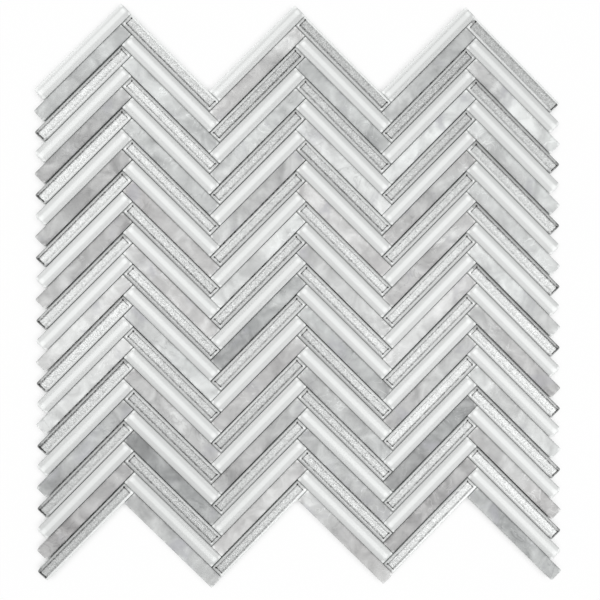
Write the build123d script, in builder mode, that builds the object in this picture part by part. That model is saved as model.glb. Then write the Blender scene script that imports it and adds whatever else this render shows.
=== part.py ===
from build123d import *

import os
from itertools import groupby
from math import floor, sqrt

# A herringbone mosaic sheet lying face up. Columns of sticks lean left and right by
# turns, square to each other, and a net glued to their backs carries them all.
# +Y runs up the pattern, +Z is the face, and the origin is under the sheet's middle.

# Driving dimensions, in millimetres
stick_length = 65.8
stick_width = 6.9
stick_thickness = 8.0
joint_width = 1.1  # open joint between neighbouring sticks, grouted after laying
white_glass_round = 1.5  # radius of the rounded rim of a white glass stick
silver_glass_round = 1.0  # radius of the rounded rim of a silver-backed glass stick
marble_arris = 0.4  # chamfer around the face of a sawn marble stick
yarn_width = 1.0
yarn_thickness = 0.25
net_setback = 1.0  # the net stops this far inside the outline of the sticks

# Counts of the pattern
column_count = 6
sticks_in_column = 24
uprights_in_column = 8  # yarns of the net that run up the sheet behind one column

# Every rising column starts with white glass at the top, every falling one with silver.
rising_order = ("white_glass", "marble", "silver_glass")
falling_order = ("silver_glass", "white_glass", "marble")

# Herringbone lattice. A stick's end meets the side of a stick in the next column, so
# the length and one joint set the columns apart, and the width and one joint the rows.
diagonal = sqrt(2)
stick_pitch = stick_width + joint_width
row_step = stick_pitch * diagonal
column_step = (stick_length + joint_width) / diagonal
first_column_x = -column_step * (column_count - 1) / 2
first_row_y = row_step * (sticks_in_column - 1) / 2
column_lift = row_step / 4  # rising columns stand this far above the middle, falling below

# Backing net of flat yarns: uprights below, cross yarns laid on them and glued to the sticks.
net_pitch = column_step / uprights_in_column
net_thickness = 2 * yarn_thickness
net_half_width = (stick_length - stick_width) / (2 * diagonal) - first_column_x - net_setback
upright_length = (
    row_step * (sticks_in_column - 1)
    + (stick_width - 2 * net_setback) * diagonal
    - yarn_width
)


def is_rising(column):
    return column % 2 == 0


def column_x(column):
    return first_column_x + column * column_step


def row_y(column, row):
    lift = column_lift if is_rising(column) else -column_lift
    return first_row_y - row * row_step + lift


def stick_plane(column, row):
    """The plane of a stick's back, with X along the stick."""
    along = (1, 1, 0) if is_rising(column) else (1, -1, 0)
    middle = (column_x(column), row_y(column, row), net_thickness)
    return Plane(origin=middle, x_dir=along, z_dir=(0, 0, 1))


def rows_of(material, column):
    """The rows of a column that a material takes, in its order of three."""
    order = rising_order if is_rising(column) else falling_order
    return range(order.index(material), sticks_in_column, len(order))


# White glass: a flat stick with a full rounded rim
with BuildPart() as white_stick:
    with BuildSketch():
        Rectangle(stick_length, stick_width)
    extrude(amount=stick_thickness)
    fillet(white_stick.faces().sort_by(Axis.Z)[-1].edges(), white_glass_round)

# Silver-backed glass: the same stick with a smaller rounded rim
with BuildPart() as silver_stick:
    with BuildSketch():
        Rectangle(stick_length, stick_width)
    extrude(amount=stick_thickness)
    fillet(silver_stick.faces().sort_by(Axis.Z)[-1].edges(), silver_glass_round)

# Marble: sawn square, with the arris taken off the face
with BuildPart() as marble_stick:
    with BuildSketch():
        Rectangle(stick_length, stick_width)
    extrude(amount=stick_thickness)
    chamfer(marble_stick.faces().sort_by(Axis.Z)[-1].edges(), marble_arris)

sticks = {
    "white_glass": white_stick,
    "silver_glass": silver_stick,
    "marble": marble_stick,
}


def stick_column(material, column):
    """All the sticks of one material in one column."""
    planes = [stick_plane(column, row) for row in rows_of(material, column)]
    with BuildPart() as laid:
        with Locations(*planes):
            add(sticks[material].part)
    return laid.part


def upright_middles():
    """The middles of the upright yarns from left to right. Each ends inside its column's sticks."""
    middles = []
    for column in range(column_count):
        slope = 1 if is_rising(column) else -1
        lift = column_lift * slope
        for yarn in range(uprights_in_column):
            offset = (yarn - (uprights_in_column - 1) / 2) * net_pitch
            x = column_x(column) + offset
            if abs(x) + yarn_width / 2 <= net_half_width:
                middles.append((x, lift + slope * offset))
    return middles


def cross_middles(uprights):
    """The middles of the cross yarns, grouped by how many uprights a yarn ties together."""
    half_reach = (upright_length - yarn_width) / 2
    top_row = floor((max(y for x, y in uprights) + half_reach) / net_pitch)
    groups = {}
    for row in range(-top_row, top_row + 1):
        y = row * net_pitch
        reached = [i for i, (x, middle) in enumerate(uprights) if abs(y - middle) <= half_reach]
        for _, run in groupby(enumerate(reached), key=lambda pair: pair[1] - pair[0]):
            tied = [uprights[i][0] for _, i in run]
            if len(tied) > 1:
                groups.setdefault(len(tied), []).append(((tied[0] + tied[-1]) / 2, y))
    return groups


# Upright yarns, which the sheet lies on
uprights = upright_middles()
with BuildPart() as net_uprights:
    with BuildSketch():
        with Locations(*uprights):
            Rectangle(yarn_width, upright_length)
    extrude(amount=yarn_thickness)

# Cross yarns, cut where they meet the zigzag of the sheet's top and bottom
with BuildPart() as net_crosses:
    with BuildSketch(Plane.XY.offset(yarn_thickness)):
        for tied, middles in cross_middles(uprights).items():
            with Locations(*middles):
                Rectangle((tied - 1) * net_pitch + yarn_width, yarn_width)
    extrude(amount=yarn_thickness)


def write(part, name):
    part.label = name
    export_step(part, f"parts/{name}.step")


os.makedirs("parts", exist_ok=True)
for column in range(column_count):
    for material in sticks:
        write(stick_column(material, column), f"{material}_column_{column + 1}")
write(net_uprights.part, "backing_net_uprights")
write(net_crosses.part, "backing_net_crosses")
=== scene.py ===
import math
import random
from typing import NamedTuple

import bmesh
import bpy
from mathutils import Matrix, Vector


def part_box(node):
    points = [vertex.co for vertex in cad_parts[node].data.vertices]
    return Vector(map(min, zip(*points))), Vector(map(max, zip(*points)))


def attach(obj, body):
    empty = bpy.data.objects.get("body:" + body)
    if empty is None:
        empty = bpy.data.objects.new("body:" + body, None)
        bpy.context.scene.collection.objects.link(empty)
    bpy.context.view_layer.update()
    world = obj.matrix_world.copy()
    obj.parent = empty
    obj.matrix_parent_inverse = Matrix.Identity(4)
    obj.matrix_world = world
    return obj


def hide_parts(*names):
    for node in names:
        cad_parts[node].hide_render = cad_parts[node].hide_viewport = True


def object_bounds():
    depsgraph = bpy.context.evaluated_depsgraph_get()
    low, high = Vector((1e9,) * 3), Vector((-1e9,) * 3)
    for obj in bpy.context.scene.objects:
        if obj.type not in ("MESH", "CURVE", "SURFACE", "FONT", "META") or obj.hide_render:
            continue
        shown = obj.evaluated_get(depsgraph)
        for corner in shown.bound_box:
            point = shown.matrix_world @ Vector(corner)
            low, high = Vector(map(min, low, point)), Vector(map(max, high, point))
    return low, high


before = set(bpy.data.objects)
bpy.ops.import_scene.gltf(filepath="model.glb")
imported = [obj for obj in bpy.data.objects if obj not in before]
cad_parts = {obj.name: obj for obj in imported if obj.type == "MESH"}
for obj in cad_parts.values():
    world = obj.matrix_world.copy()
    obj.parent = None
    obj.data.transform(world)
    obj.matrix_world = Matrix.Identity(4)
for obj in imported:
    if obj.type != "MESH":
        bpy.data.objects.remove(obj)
cad_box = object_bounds()

# A herringbone mosaic sheet lying face up: sticks of white glass, silver-backed glass and marble, laid by
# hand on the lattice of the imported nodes, with a net of yarns on their backs. Lengths are in metres.
COLUMNS = 6
STICKS_OF_A_KIND = 8  # in one column
DIAGONAL = math.sqrt(2)

FLAT_EDGE = 0.00015  # a narrow flat strip inside the rim that keeps the shading of the face flat
SEAT_GAP = 0.00003  # the film of glue between the net and a stick's back
SAME_POINT = 0.000001  # points closer than this are one point
RIM_STEPS = 3  # flats that follow the ellipse of a rim
CORNER_STEPS = 2  # flats that round a corner in plan
YARN_SIDES = 6

# How far hand-laid sticks stray from the lattice
STRAY_SHIFT = 0.00004
STRAY_TURN = math.radians(0.06)
STRAY_TILT = math.radians(0.25)

SLAB_HALF = 5.0  # a marble stick is cut from the slab within this distance of its middle
FIBRE_RANGE = 50.0  # a yarn's fibres are drawn from a pattern of this length

# What each stick is marked with, for its finish to read
NUMBER_MARKS = ("tone", "cast", "outer", "open")
VECTOR_MARKS = ("stick", "slab")

randomness = random.Random(24)  # a fixed seed, so that every run lays the same sheet


class Spread(NamedTuple):
    """How far a stick's two ends, its upper side and its lower side stand out beyond the nominal outline."""

    ends: float
    upper: float
    lower: float


class StickKind(NamedTuple):
    """How one kind of stick is cut and laid. Its corners are rounded in plan, at an end inside the sheet and
    at one on the sheet's left or right edge. A falling column is laid closer than a rising one. Tones and
    casts are the ranges that each stick's own are drawn from, and a third tone is the most common one."""

    rim_at_side: float
    rim_at_end: float
    rim_drop: float
    inner_corner: float
    outer_corner: float
    rising: Spread
    falling: Spread
    tones: tuple
    inner_casts: tuple
    outer_casts: tuple


STICK_KINDS = {
    "white_glass": StickKind(
        rim_at_side=0.0020,
        rim_at_end=0.0014,
        rim_drop=0.0004,
        inner_corner=0.0005,
        outer_corner=0.0016,
        rising=Spread(ends=0.00044, upper=0.00043, lower=0.00042),
        falling=Spread(ends=0.00044, upper=0.00049, lower=0.00048),
        tones=(0.3, 0.7),
        inner_casts=(0, 1),
        outer_casts=(0, 1),
    ),
    "silver_glass": StickKind(
        rim_at_side=0.0009,
        rim_at_end=0.0009,
        rim_drop=0.0005,
        inner_corner=0.0005,
        outer_corner=0.0009,
        rising=Spread(ends=0.00041, upper=0.00012, lower=0.00038),
        falling=Spread(ends=0.00041, upper=0.00026, lower=0.00044),
        tones=(0.1, 0.9),
        inner_casts=(0.6, 1.0),
        outer_casts=(0.15, 0.45),
    ),
    "marble": StickKind(
        rim_at_side=0.0003,
        rim_at_end=0.0003,
        rim_drop=0.0003,
        inner_corner=0.00035,
        outer_corner=0.0008,
        rising=Spread(ends=0.00044, upper=0.00040, lower=0.00030),
        falling=Spread(ends=0.00044, upper=0.00046, lower=0.00040),
        tones=(0.08, 0.92, 0.45),
        inner_casts=(0.3, 1.2),
        outer_casts=(0.3, 1.2),
    ),
}


def is_rising(column):
    return column % 2 == 0


def node_box(kind, column):
    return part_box(f"{kind}_column_{column + 1}")


def node_middle(kind, column):
    low, high = node_box(kind, column)
    return (low + high) / 2


def lattice():
    """A stick's length, width and thickness, and the step between rows, from the boxes of the nodes."""
    low, high = node_box("white_glass", 0)
    row_step = node_middle("white_glass", 0).y - node_middle("marble", 0).y
    length_and_joint = (node_middle("white_glass", 1).x - node_middle("white_glass", 0).x) * DIAGONAL
    width_and_joint = row_step / DIAGONAL
    length_and_width = (high.x - low.x) * DIAGONAL
    length = (length_and_joint + length_and_width - width_and_joint) / 2
    return length, length_and_width - length, high.z - low.z, row_step


STICK_LENGTH, STICK_WIDTH, STICK_THICKNESS, ROW_STEP = lattice()
FACE_Z = cad_box[1].z
BACK_Z = FACE_Z - STICK_THICKNESS + SEAT_GAP


class Value:
    """A number on a shader socket that takes part in Python arithmetic. Each operation adds a Math node."""

    def __init__(self, finish, socket):
        self.finish = finish
        self.socket = socket

    def maths(self, operation, *inputs):
        return self.finish.node("ShaderNodeMath", {"operation": operation}, inputs)

    def __add__(self, other):
        return self.maths("ADD", self, other)

    def __radd__(self, other):
        return self.maths("ADD", other, self)

    def __sub__(self, other):
        return self.maths("SUBTRACT", self, other)

    def __rsub__(self, other):
        return self.maths("SUBTRACT", other, self)

    def __mul__(self, other):
        return self.maths("MULTIPLY", self, other)

    def __rmul__(self, other):
        return self.maths("MULTIPLY", other, self)

    def __abs__(self):
        return self.maths("ABSOLUTE", self)

    def least(self, other):
        return self.maths("MINIMUM", self, other)

    def most(self, other):
        return self.maths("MAXIMUM", self, other)

    def sign(self):
        return self.maths("SIGN", self)

    def toward(self, goal, share):
        """This value, moved a share of the way to a goal."""
        return self + (goal - self) * share

    def clamped(self):
        return self.finish.node("ShaderNodeClamp", {}, [self])


# A Mix node's colour sockets, by place, because its sockets of every type have the same names
MIX_FIRST = 6
MIX_SECOND = 7
MIX_RESULT = 2


class Finish:
    """A material made of nodes around one Principled shader."""

    def __init__(self, name):
        self.material = bpy.data.materials.new(name)
        self.material.use_nodes = True
        self.tree = self.material.node_tree
        self.shader = self.tree.nodes["Principled BSDF"]

    def node(self, kind, settings=None, inputs=(), output=0):
        """Adds a node: its settings first, then the values or links of its sockets, by place or by name."""
        made = self.tree.nodes.new(kind)
        for name, value in (settings or {}).items():
            if name == "stops":
                self.set_stops(made.color_ramp, value)
            else:
                setattr(made, name, value)
        pairs = inputs.items() if isinstance(inputs, dict) else enumerate(inputs)
        for key, value in pairs:
            self.feed(made.inputs[key], value)
        return Value(self, made.outputs[output])

    def feed(self, socket, value):
        if isinstance(value, Value):
            self.tree.links.new(value.socket, socket)
        else:
            socket.default_value = value

    @staticmethod
    def set_stops(ramp, stops):
        while len(ramp.elements) < len(stops):
            ramp.elements.new(1.0)
        for element, (place, colour) in zip(ramp.elements, stops):
            element.position = place
            element.color = (*colour, 1.0)

    def set(self, **inputs):
        """Sets the shader's own sockets, named with underscores."""
        for name, value in inputs.items():
            self.feed(self.shader.inputs[name.replace("_", " ")], value)

    def place(self):
        return self.node("ShaderNodeTexCoord", output="Object")

    def attribute(self, name, output="Fac"):
        return self.node("ShaderNodeAttribute", {"attribute_name": name}, output=output)

    def vector(self, operation, *inputs):
        return self.node("ShaderNodeVectorMath", {"operation": operation}, inputs)

    def noise(self, vector, scale, detail=2.0, roughness=0.5, distortion=0.0):
        sockets = {
            "Vector": vector,
            "Scale": scale,
            "Detail": detail,
            "Roughness": roughness,
            "Distortion": distortion,
        }
        return self.node("ShaderNodeTexNoise", {}, sockets, "Fac")

    def ramp(self, value, *stops):
        return self.node("ShaderNodeValToRGB", {"stops": stops}, [value])

    def span(self, value, low, high, to_low=0.0, to_high=1.0):
        """A value between low and high, carried over to another range and held within it."""
        return self.node("ShaderNodeMapRange", {"clamp": True}, [value, low, high, to_low, to_high])

    def soft(self, value, low, high):
        """Zero up to a low value, one past a high one, and an even curve between them."""
        return self.node("ShaderNodeMapRange", {"interpolation_type": "SMOOTHSTEP"}, [value, low, high])

    def fade(self, value, full, gone):
        """One up to where it is full, and zero past where it is gone."""
        return self.span(value, full, gone, 1.0, 0.0)

    def line(self, value, middle, reach):
        """One at the middle of a line and zero outside its reach."""
        return self.fade(abs(value - middle), 0.0, reach)

    def blend(self, amount, first, second):
        sockets = {"Factor": amount, MIX_FIRST: first, MIX_SECOND: second}
        return self.node("ShaderNodeMix", {"data_type": "RGBA"}, sockets, MIX_RESULT)

    def bump(self, height, strength, distance):
        sockets = {"Height": height, "Strength": strength, "Distance": distance}
        return self.node("ShaderNodeBump", {}, sockets, "Normal")


# Places on a stick that the finishes of all three kinds share
WALL_FULL = 0.0016  # this far below the face, a side has its own colour
WALL_GONE = 0.0011  # and this far below it, none of that
SHADE_FULL = -0.0004  # this far in from a side, the next stick shades it most
SHADE_GONE = 0.0006  # and this far in, no longer
CORNER_INSET = 0.0001  # a corner is marked this far in from its side
FACING_FULL = 0.001  # a side that faces out of the sheet starts this far from the middle line


class StickFinish(Finish):
    """A finish that reads the marks on a stick: its tone, and the place along the stick, across it, with
    plus on the upper side, and above its back."""

    def __init__(self, name):
        super().__init__(name)
        self.stick = self.attribute("stick", "Vector")
        self.along = self.node("ShaderNodeSeparateXYZ", {}, [self.stick], "X")
        self.across = self.node("ShaderNodeSeparateXYZ", {}, [self.stick], "Y")
        self.height = self.node("ShaderNodeSeparateXYZ", {}, [self.stick], "Z")
        self.tone = self.attribute("tone")
        self.from_side = STICK_WIDTH / 2 - abs(self.across)
        self.from_end = STICK_LENGTH / 2 - abs(self.along)
        self.wall = self.fade(self.height, STICK_THICKNESS - WALL_FULL, STICK_THICKNESS - WALL_GONE)
        self.facing = self.span(self.across * self.attribute("open"), 0.0, FACING_FULL)
        self.shade = self.fade(self.from_side, SHADE_FULL, SHADE_GONE) * (1.0 - self.facing)

    def spot(self, from_end, from_side, reach):
        """One at a point near each end, and zero past its reach. A minus counts from the lower side."""
        along = self.from_end - from_end
        across = self.across - math.copysign(STICK_WIDTH / 2 - abs(from_side), from_side)
        return self.fade(along * along + across * across, 0.0, reach * reach)

    def corners(self, reach):
        """One at the four corners of the face and zero outside their reach."""
        return self.spot(0.0, CORNER_INSET, reach) + self.spot(0.0, -CORNER_INSET, reach)

    def outer_end(self, start, full):
        """Rises to one at an end on the sheet's left or right edge. Both distances are from that end."""
        outward = self.along * self.attribute("outer")
        return self.soft(outward, STICK_LENGTH / 2 - start, STICK_LENGTH / 2 - full)

    def open_rim(self, full, gone):
        """One along a side at the sheet's top or bottom, fading farther in. Both distances are from it."""
        return self.facing * self.fade(self.from_side, full, gone)


# What noise and the tones of the glass swing about
NOISE_MEAN = 0.5
TONE_MEAN = 0.5

# Marble from dark to light, and its other colours
WARM_MARBLE = (
    (0.0, (0.225, 0.218, 0.218)),
    (0.23, (0.335, 0.325, 0.325)),
    (0.615, (0.60, 0.59, 0.585)),
    (1.0, (0.93, 0.92, 0.915)),
)
COOL_MARBLE = (
    (0.0, (0.212, 0.218, 0.218)),
    (0.23, (0.315, 0.325, 0.325)),
    (0.615, (0.575, 0.59, 0.585)),
    (1.0, (0.905, 0.93, 0.92)),
)
VIOLET_MARBLE = (0.43, 0.43, 0.465, 1.0)
# The sawn sides are painted lighter, for light that reaches into the joints through the glass beside them.
LIT_MARBLE_SIDE = (0.90, 0.90, 0.89, 1.0)

# Sides of the glass, the white glass's painted lighter for light that passes through it into the joints, and
# yarn from its dark fibres to its light ones
WHITE_GLASS_LIT_WALL = (0.93, 0.94, 0.935, 1.0)
SILVER_GLASS_WALL = (0.50, 0.55, 0.53, 1.0)
SIZED_YARN = ((0.3, (0.66, 0.665, 0.63)), (0.7, (0.88, 0.88, 0.85)))


def glass_grey(value):
    """A grey with the faint green of glass."""
    return (value, value * 1.018, value * 1.009)


def marble_finish():
    """Honed grey-white marble, with its sawn sides painted whiter, for light that reaches into the joints
    through the glass beside them. Each stick is cut from another place of the slab, and its cast runs from
    warm to cool."""
    finish = StickFinish("honed_marble")
    slab = finish.vector("ADD", finish.stick, finish.attribute("slab", "Vector"))

    # Clouds and veins of the stone
    clouds = finish.noise(slab, scale=85.0, detail=3.0, distortion=0.8) - NOISE_MEAN
    drift = finish.noise(slab, scale=22.0, detail=1.0) - NOISE_MEAN
    mottle = finish.noise(slab, scale=420.0, detail=3.0, roughness=0.6)
    grey_folds = finish.noise(slab, scale=70.0, detail=4.0, roughness=0.6, distortion=1.2)
    grey_parts = finish.span(finish.noise(slab, scale=40.0), 0.52, 0.66)
    grey_veins = finish.line(grey_folds, middle=NOISE_MEAN, reach=0.03) * grey_parts
    pale_folds = finish.noise(slab, scale=95.0, detail=3.0, roughness=0.55, distortion=0.8)
    pale_parts = finish.span(finish.noise(slab, scale=33.0, detail=1.0), 0.5, 0.6)
    pale_veins = finish.line(pale_folds, middle=NOISE_MEAN, reach=0.012) * pale_parts

    # Chipped arrises
    from_edge = finish.from_side.least(finish.from_end)
    crumbs = finish.span(finish.noise(slab, scale=1100.0), 0.52, 0.62)
    chips = finish.line(from_edge, middle=-0.0002, reach=0.0007) * crumbs

    # How light the stone is, and its colour
    light = finish.tone + clouds * 1.30 + drift * 0.65 + (mottle - NOISE_MEAN) * 0.24
    light = light - grey_veins * 0.22 + pale_veins * 0.30
    # The lighter corners are partly chipped stone and partly painted light, where light comes up through the
    # corners of the joints. The shade along the sides is painted shade from the next sticks.
    light = light + chips * 0.25 + finish.corners(reach=0.0013) * 0.35 - finish.shade * 0.32
    light = finish.span(light, -0.3, 1.0)
    cast = (finish.attribute("cast") + drift * 1.2).clamped()
    stone = finish.blend(cast, finish.ramp(light, *WARM_MARBLE), finish.ramp(light, *COOL_MARBLE))
    violet_folds = finish.noise(slab, scale=62.0, detail=3.0, roughness=0.55, distortion=0.5)
    violet = finish.span(violet_folds, 0.58, 0.72, to_high=0.55)
    face = finish.blend(violet, stone, VIOLET_MARBLE)
    finish.set(Base_Color=finish.blend(finish.wall * 0.6, face, LIT_MARBLE_SIDE))
    finish.set(Roughness=0.42 + mottle * 0.12, IOR=1.5)
    finish.set(Normal=finish.bump(mottle, strength=0.12, distance=0.0002))
    return finish.material


def white_glass_finish():
    """White glass, fullest in a stripe down the middle of the face and greyer in its rounded rim. Both are
    painted, for the white back seen straight through the flat face and at a slant through the rim.
    """
    finish = StickFinish("white_glass")
    stripe_middle = 0.0002  # a little toward the upper side
    # Painted: the stripe stands in for the white back seen straight through the flat face, and its fall-off
    # for the rim bending the view away.
    from_stripe_side = STICK_WIDTH / 2 - abs(finish.across - stripe_middle)
    stripe = finish.soft(from_stripe_side, low=0.0015, high=0.0028)
    stripe = stripe * finish.soft(finish.from_end, low=-0.0002, high=0.0012)
    body = finish.noise(finish.place(), scale=90.0) - NOISE_MEAN
    # A painted highlight near each end of the face.
    end_highlight = finish.spot(from_end=0.0013, from_side=0.0030, reach=0.0020)
    cap = finish.outer_end(start=0.0016, full=0.0)

    light = 0.690 + stripe * 0.180 + (finish.tone - TONE_MEAN) * 0.03 + body * 0.03
    # Painted light: lighter corners, where light comes up through the corners of the joints, and a lighter
    # end and side where the glass meets the sheet's edges. Painted shade runs along the sides, from the next
    # sticks.
    light = light + finish.corners(reach=0.0014) * 0.25 + end_highlight * 0.10
    light = light + cap * 0.16 + finish.open_rim(full=-0.0002, gone=0.0017) * 0.28
    light = light - finish.shade * finish.shade * (1.0 - cap) * 0.10

    colour = finish.ramp(light.clamped(), (0.0, glass_grey(0.0)), (1.0, glass_grey(0.985)))
    # Its sides below the face are painted lighter, for light that passes through the glass into the joints.
    finish.set(Base_Color=finish.blend(finish.wall, colour, WHITE_GLASS_LIT_WALL))
    finish.set(Roughness=0.22, IOR=1.45)
    return finish.material


def silver_glass_finish():
    """Silver-backed glass: a granular silver field, set in a painted dark line and a painted highlight on
    the rounded rim, which stand in for light bent and reflected in the glass. A stick's cast says how far
    the painted dark line has moved from the upper side to the lower."""
    finish = StickFinish("silver_glass")
    cast = finish.attribute("cast")
    cap = finish.outer_end(start=0.003, full=0.002)
    from_end = finish.from_end + cap * 0.0008

    # The granular field
    place = finish.place()
    cells = finish.node("ShaderNodeTexVoronoi", {}, {"Vector": place, "Scale": 2000.0}, "Color")
    grains = finish.node("ShaderNodeSeparateColor", {}, [cells], "Red")
    glitter = finish.noise(place, scale=2400.0, detail=1.0, roughness=0.7)
    streak = finish.noise(place, scale=260.0)
    grain = grains * 0.5 + glitter * 0.9 - 0.45
    field = 0.560 + (finish.tone - TONE_MEAN) * 0.20 + (grain - 0.25) * 0.48 + (streak - NOISE_MEAN) * 0.14

    # The dark line around it is painted: it stands in for the dark sides and joints seen through the glass
    # and its rounded rim
    upper = finish.line(STICK_WIDTH / 2 - finish.across, middle=0.00145, reach=0.00105 - cast * 0.0006)
    upper = upper * (1.0 - finish.facing * 0.7)
    lower = finish.line(STICK_WIDTH / 2 + finish.across, middle=0.00165, reach=0.00080)
    lower = lower * finish.span(streak, 0.3, 0.6, to_low=0.6)
    ends = finish.line(from_end, middle=0.0012, reach=0.0005 + cap * 0.0002)
    light = field - upper * (0.60 - cast * 0.38) - lower * (cast * 0.54) - ends * (0.55 + cap * 0.2)

    # The rim carries a painted highlight, lighter on one side than the other and at the sheet's top and
    # bottom, and painted shade where the next sticks stand. At its corners sit a painted highlight dot and a
    # painted dark dot
    rim = finish.fade(from_end.least(finish.from_side), full=0.0008, gone=0.0011)
    rim_lighting = 0.59 + finish.across.sign() * (cast * 0.32 - 0.23) - cap * 0.2
    rim_lighting = rim_lighting.toward(0.95, finish.open_rim(full=0.0008, gone=0.0012))
    light = light.toward(rim_lighting, rim) - finish.shade * finish.shade * (0.45 - cast * 0.3)
    highlight_dot = finish.spot(from_end=0.0007, from_side=-0.0009, reach=0.0008)
    shade_dot = finish.spot(from_end=0.0011, from_side=0.0012, reach=0.0007)
    light = light + (highlight_dot * 0.35 - shade_dot * 0.6) * (1.0 - cap)

    colour = finish.ramp(light.clamped(), (0.0, glass_grey(0.02)), (1.0, glass_grey(0.99)))
    edge = rim.most(finish.wall)
    finish.set(Base_Color=finish.blend(finish.wall, colour, SILVER_GLASS_WALL))
    finish.set(Metallic=0.38 - edge * 0.32, Roughness=0.22 - edge * 0.07, IOR=1.5)
    finish.set(Normal=finish.bump(grain, strength=0.25, distance=0.0002))
    return finish.material


def yarn_finish():
    """Off-white glass-fibre yarn, striped along its fibres and sized with a faintly shiny binder."""
    finish = Finish("net_yarn")
    fibre_scale = (300.0, 9000.0, 1.0)  # along the yarn, across it and from yarn to yarn
    lengthwise = finish.vector("MULTIPLY", finish.attribute("yarn", "Vector"), fibre_scale)
    fibres = finish.noise(lengthwise, scale=1.0, detail=3.0, roughness=0.6)
    finish.set(Base_Color=finish.ramp(fibres, *SIZED_YARN), Roughness=0.55)
    finish.set(Normal=finish.bump(fibres, strength=0.5, distance=0.0001))
    return finish.material


def new_piece(name, shape, finish):
    mesh = bpy.data.meshes.new(name)
    shape.to_mesh(mesh)
    shape.free()
    mesh.materials.append(finish)
    piece = bpy.data.objects.new(name, mesh)
    bpy.context.scene.collection.objects.link(piece)
    return piece


def face_height(face):
    return face.calc_center_median().z


def is_upright(edge):
    first, second = edge.verts
    return (first.co - second.co).xy.length < SAME_POINT


def round_corners(shape, radii):
    """Rounds the upright edges at each end of a bar, -1 or 1, to the radius of that end."""
    for end, radius in radii.items():
        uprights = [edge for edge in shape.edges if is_upright(edge) and edge.verts[0].co.x * end > 0]
        bmesh.ops.bevel(
            shape, geom=uprights, offset=radius, offset_type="OFFSET", affect="EDGES",
            segments=CORNER_STEPS, profile=0.5, material=-1,
        )


def raise_rim(shape, make):
    """Steps the top face of a bar up and in along the ellipse of the rim, and then in by a flat strip."""
    levels = [Vector((0.0, 0.0, 0.0))]
    for k in range(1, RIM_STEPS + 1):
        turn = math.radians(90) * k / RIM_STEPS
        inward = 1 - math.cos(turn)
        upward = math.sin(turn)
        levels.append(Vector((make.rim_at_end * inward, make.rim_at_side * inward, make.rim_drop * upward)))
    levels.append(levels[-1] + Vector((FLAT_EDGE, FLAT_EDGE, 0.0)))
    face = max(shape.faces, key=face_height)
    for lower, upper in zip(levels, levels[1:]):
        face = bmesh.ops.extrude_discrete_faces(shape, faces=[face])["faces"][0]
        step = upper - lower
        for vertex in face.verts:
            vertex.co.x -= math.copysign(step.x, vertex.co.x)
            vertex.co.y -= math.copysign(step.y, vertex.co.y)
            vertex.co.z += step.z


def stick_shape(make, radii, spread):
    """One stick about the origin, with its back at z 0: a bar with rounded corners and a rim at its face."""
    rim_z = STICK_THICKNESS - SEAT_GAP - make.rim_drop
    size = Vector((STICK_LENGTH + 2 * spread.ends, STICK_WIDTH + spread.upper + spread.lower, rim_z))
    middle = Vector((0.0, (spread.upper - spread.lower) / 2, rim_z / 2))
    shape = bmesh.new()
    bmesh.ops.create_cube(shape, size=1.0)
    bmesh.ops.scale(shape, vec=size, verts=shape.verts)
    bmesh.ops.translate(shape, vec=middle, verts=shape.verts)
    round_corners(shape, radii)
    raise_rim(shape, make)
    bmesh.ops.recalc_face_normals(shape, faces=shape.faces)
    for face in shape.faces:
        face.smooth = True
    for edge in min(shape.faces, key=face_height).edges:
        edge.smooth = False
    return shape


def stray_matrix():
    """The small shift, turn and tilt of one hand-laid stick."""
    shift = Vector([randomness.uniform(-STRAY_SHIFT, STRAY_SHIFT) for _ in range(2)] + [0.0])
    turn = Matrix.Rotation(randomness.uniform(-STRAY_TURN, STRAY_TURN), 4, "Z")
    tilt = Matrix.Rotation(randomness.uniform(-STRAY_TILT, STRAY_TILT), 4, "X")
    return Matrix.Translation(shift) @ turn @ tilt


def stick_matrices(kind, column):
    """The places of a kind's sticks in one column, from the top of the sheet down."""
    middle = node_middle(kind, column)
    lean = math.radians(45 if is_rising(column) else -45)
    for k in range(STICKS_OF_A_KIND):
        y = middle.y + ((STICKS_OF_A_KIND - 1) / 2 - k) * len(STICK_KINDS) * ROW_STEP
        place = Matrix.Translation((middle.x, y, BACK_Z))
        yield place @ Matrix.Rotation(lean, 4, "Z") @ stray_matrix()


def open_sides(kind, column):
    """The sticks of a kind that end the column, each with its side that faces out: 1 upward, -1 downward."""
    heights = {other: node_middle(other, column).y for other in STICK_KINDS}
    sides = {}
    if kind == max(heights, key=heights.get):
        sides[0] = 1.0
    if kind == min(heights, key=heights.get):
        sides[STICKS_OF_A_KIND - 1] = -1.0
    return sides


def stick_mesh(make, radii, spread):
    """The mesh of one stick, marked with the places of its vertices. Its other marks are blank."""
    shape = stick_shape(make, radii, spread)
    for name in NUMBER_MARKS:
        shape.verts.layers.float.new(name)
    for name in VECTOR_MARKS:
        shape.verts.layers.float_vector.new(name)
    stick_layer = shape.verts.layers.float_vector["stick"]
    for vertex in shape.verts:
        vertex[stick_layer] = vertex.co
    mesh = bpy.data.meshes.new("stick")
    shape.to_mesh(mesh)
    shape.free()
    return mesh


def mark(shape, verts, name, value):
    """Writes one value on all of these vertices, in the layer of that name."""
    layers = shape.verts.layers
    layer = layers.float_vector[name] if name in VECTOR_MARKS else layers.float[name]
    for vertex in verts:
        vertex[layer] = value


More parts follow.
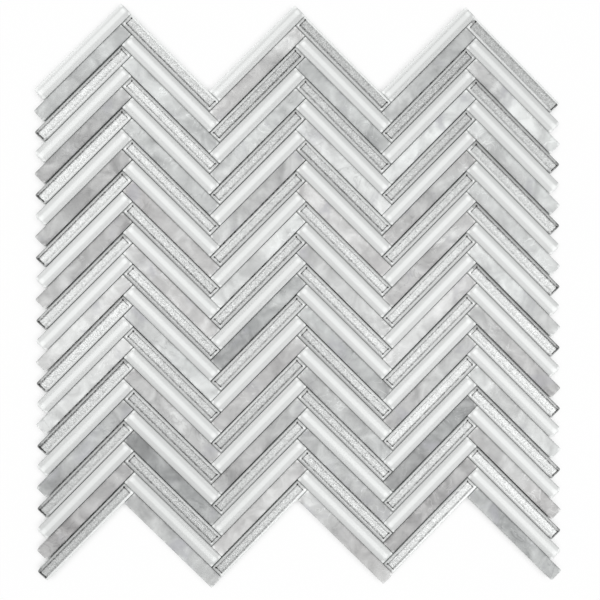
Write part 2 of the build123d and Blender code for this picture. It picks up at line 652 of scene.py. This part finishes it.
def lay_sticks(kind, column, finish):
    """One piece of all the sticks of a kind in a column, each with marks of its own."""
    make = STICK_KINDS[kind]
    outer = {0: -1.0, COLUMNS - 1: 1.0}.get(column, 0.0)  # the end on the sheet's left or right edge
    radii = {end: make.outer_corner if end == outer else make.inner_corner for end in (-1, 1)}
    spread = make.rising if is_rising(column) else make.falling
    casts = make.outer_casts if outer else make.inner_casts
    sides = open_sides(kind, column)
    mesh = stick_mesh(make, radii, spread)
    joined = bmesh.new()
    for k, matrix in enumerate(stick_matrices(kind, column)):
        first = len(joined.verts)
        joined.from_mesh(mesh)
        joined.verts.ensure_lookup_table()
        stick = joined.verts[first:]
        mark(joined, stick, "tone", randomness.triangular(*make.tones))
        mark(joined, stick, "cast", randomness.uniform(*casts))
        mark(joined, stick, "slab", Vector([randomness.uniform(-SLAB_HALF, SLAB_HALF) for _ in range(3)]))
        mark(joined, stick, "outer", outer)
        mark(joined, stick, "open", sides.get(k, 0.0))
        bmesh.ops.transform(joined, matrix=matrix, verts=stick)
    bpy.data.meshes.remove(mesh)
    joined.normal_update()
    piece = new_piece(f"{kind}_sticks_{column + 1}", joined, finish)
    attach(piece, "root")
    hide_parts(f"{kind}_column_{column + 1}")


def islands(shape):
    """The separate bodies of a shape, each as a set of vertices."""
    left = set(shape.verts)
    while left:
        island = set()
        reached = [left.pop()]
        while reached:
            vertex = reached.pop()
            island.add(vertex)
            beyond = {edge.other_vert(vertex) for edge in vertex.link_edges} & left
            left -= beyond
            reached.extend(beyond)
        yield island


def yarn_boxes(name):
    """The low and high corner of each yarn in a node of the net, in order of the low corners."""
    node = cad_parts[name]
    shape = bmesh.new()
    shape.from_mesh(node.data)
    shape.transform(node.matrix_world)
    bmesh.ops.remove_doubles(shape, verts=shape.verts, dist=SAME_POINT)
    boxes = []
    for island in islands(shape):
        places = [vertex.co for vertex in island]
        low = Vector([min(place[axis] for place in places) for axis in range(3)])
        high = Vector([max(place[axis] for place in places) for axis in range(3)])
        boxes.append((low, high))
    shape.free()
    return sorted(boxes, key=lambda box: tuple(box[0]))


def lay_yarns(name, finish):
    """The yarns of one node of the net. Each is a flat bar, marked with places along and across it."""
    from_middle_to_flat = math.cos(math.pi / YARN_SIDES)
    quarter_turn = Matrix.Rotation(math.radians(90), 4, "Z")
    joined = bmesh.new()
    yarn_layer = joined.verts.layers.float_vector.new("yarn")
    for low, high in yarn_boxes(name):
        size = high - low
        half_depth = size.z / 2
        section = Matrix.Diagonal((half_depth / from_middle_to_flat, min(size.xy) / 2, max(size.xy), 1.0))
        along_x = Matrix.Rotation(math.radians(90), 4, "Y") @ section
        yarn = bmesh.ops.create_cone(
            joined, cap_ends=True, segments=YARN_SIDES, radius1=1.0, radius2=1.0, depth=1.0, matrix=along_x,
        )["verts"]
        offset = randomness.uniform(0, FIBRE_RANGE)
        for vertex in yarn:
            vertex[yarn_layer] = (vertex.co.x, vertex.co.y, offset + vertex.co.z / half_depth)
            for face in vertex.link_faces:
                face.smooth = len(face.verts) != YARN_SIDES  # only the cut ends are flat
        lean = Matrix.Identity(4) if size.x > size.y else quarter_turn
        bmesh.ops.transform(joined, matrix=Matrix.Translation((low + high) / 2) @ lean, verts=yarn)
    bmesh.ops.recalc_face_normals(joined, faces=joined.faces)
    piece = new_piece(f"{name}_yarns", joined, finish)
    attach(piece, "root")
    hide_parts(name)


# The sheet
stick_finishes = {
    "white_glass": white_glass_finish(),
    "silver_glass": silver_glass_finish(),
    "marble": marble_finish(),
}
yarn = yarn_finish()
for column in range(COLUMNS):
    for kind, finish in stick_finishes.items():
        lay_sticks(kind, column, finish)
for name in ("backing_net_uprights", "backing_net_crosses"):
    lay_yarns(name, yarn)

# Floor
FLOOR_HALF = 12.0
FLOOR_GREY = (0.90, 0.90, 0.90, 1.0)
FLOOR_WHITE = 0.97  # the share of plain white in what is seen of the open floor
SHADOW_REACH = 0.004  # the floor is open where nothing stands within this distance


def floor_finish():
    """A white floor. Seen directly or in gloss it is nearly white, except close to the sheet."""
    finish = Finish("floor")
    finish.set(Base_Color=FLOOR_GREY, Roughness=0.9)
    seen = finish.node("ShaderNodeLightPath", output="Is Camera Ray")
    in_gloss = finish.node("ShaderNodeLightPath", output="Is Glossy Ray")
    open_floor = finish.node("ShaderNodeAmbientOcclusion", {"samples": 4}, {"Distance": SHADOW_REACH}, "AO")
    share = ((seen + in_gloss) * open_floor * FLOOR_WHITE).clamped()
    white = finish.node("ShaderNodeEmission", {}, {"Color": (1.0, 1.0, 1.0, 1.0), "Strength": 1.0})
    lit = Value(finish, finish.shader.outputs["BSDF"])
    shown = finish.node("ShaderNodeMixShader", {}, [share, lit, white])
    finish.feed(finish.tree.nodes["Material Output"].inputs["Surface"], shown)
    return finish.material


ground = bmesh.new()
bmesh.ops.create_grid(ground, x_segments=1, y_segments=1, size=FLOOR_HALF)
floor = new_piece("floor", ground, floor_finish())

# Light: a pale room and two softboxes beside the camera
ROOM_LIGHT = 0.45
SOFTBOX_WIDTH = 0.6
SOFTBOX_HEIGHT = 1.15

world = bpy.data.worlds.new("studio")
world.use_nodes = True
room = world.node_tree.nodes["Background"].inputs
room["Color"].default_value = (1.0, 1.0, 1.0, 1.0)
room["Strength"].default_value = ROOM_LIGHT
bpy.context.scene.world = world


def softbox(name, place, power):
    """A softbox aimed at the middle of the sheet."""
    data = bpy.data.lights.new(name, "AREA")
    data.shape = "RECTANGLE"
    data.size = SOFTBOX_WIDTH
    data.size_y = SOFTBOX_HEIGHT
    data.energy = power
    lamp = bpy.data.objects.new(name, data)
    lamp.location = place
    lamp.rotation_euler = (-place).to_track_quat("-Z", "Y").to_euler()
    bpy.context.scene.collection.objects.link(lamp)


softbox("softbox_left", place=Vector((-0.46, 0.26, 1.0)), power=4.6)
softbox("softbox_right", place=Vector((0.58, -0.27, 1.0)), power=4.8)

# Camera, fitted to the view in the photo, with its lens and sensor in millimetres
CAMERA_PLACE = Vector((-0.062, 0.0057, 0.783))
CAMERA_AIM = Vector((-0.0009, -0.0021, FACE_Z))
CAMERA_UP = Vector((0.0056, 0.9999, -0.0096))
CAMERA_LENS = 85.0
CAMERA_SENSOR = 36.0

view = (CAMERA_AIM - CAMERA_PLACE).normalized()
right = view.cross(CAMERA_UP).normalized()
camera_axes = Matrix((right, right.cross(view), -view)).transposed()
camera_data = bpy.data.cameras.new("camera")
camera_data.lens = CAMERA_LENS
camera_data.sensor_width = CAMERA_SENSOR
camera = bpy.data.objects.new("camera", camera_data)
camera.matrix_world = Matrix.Translation(CAMERA_PLACE) @ camera_axes.to_4x4()
bpy.context.scene.collection.objects.link(camera)
bpy.context.scene.camera = camera

bpy.context.scene.view_settings.view_transform = "Standard"
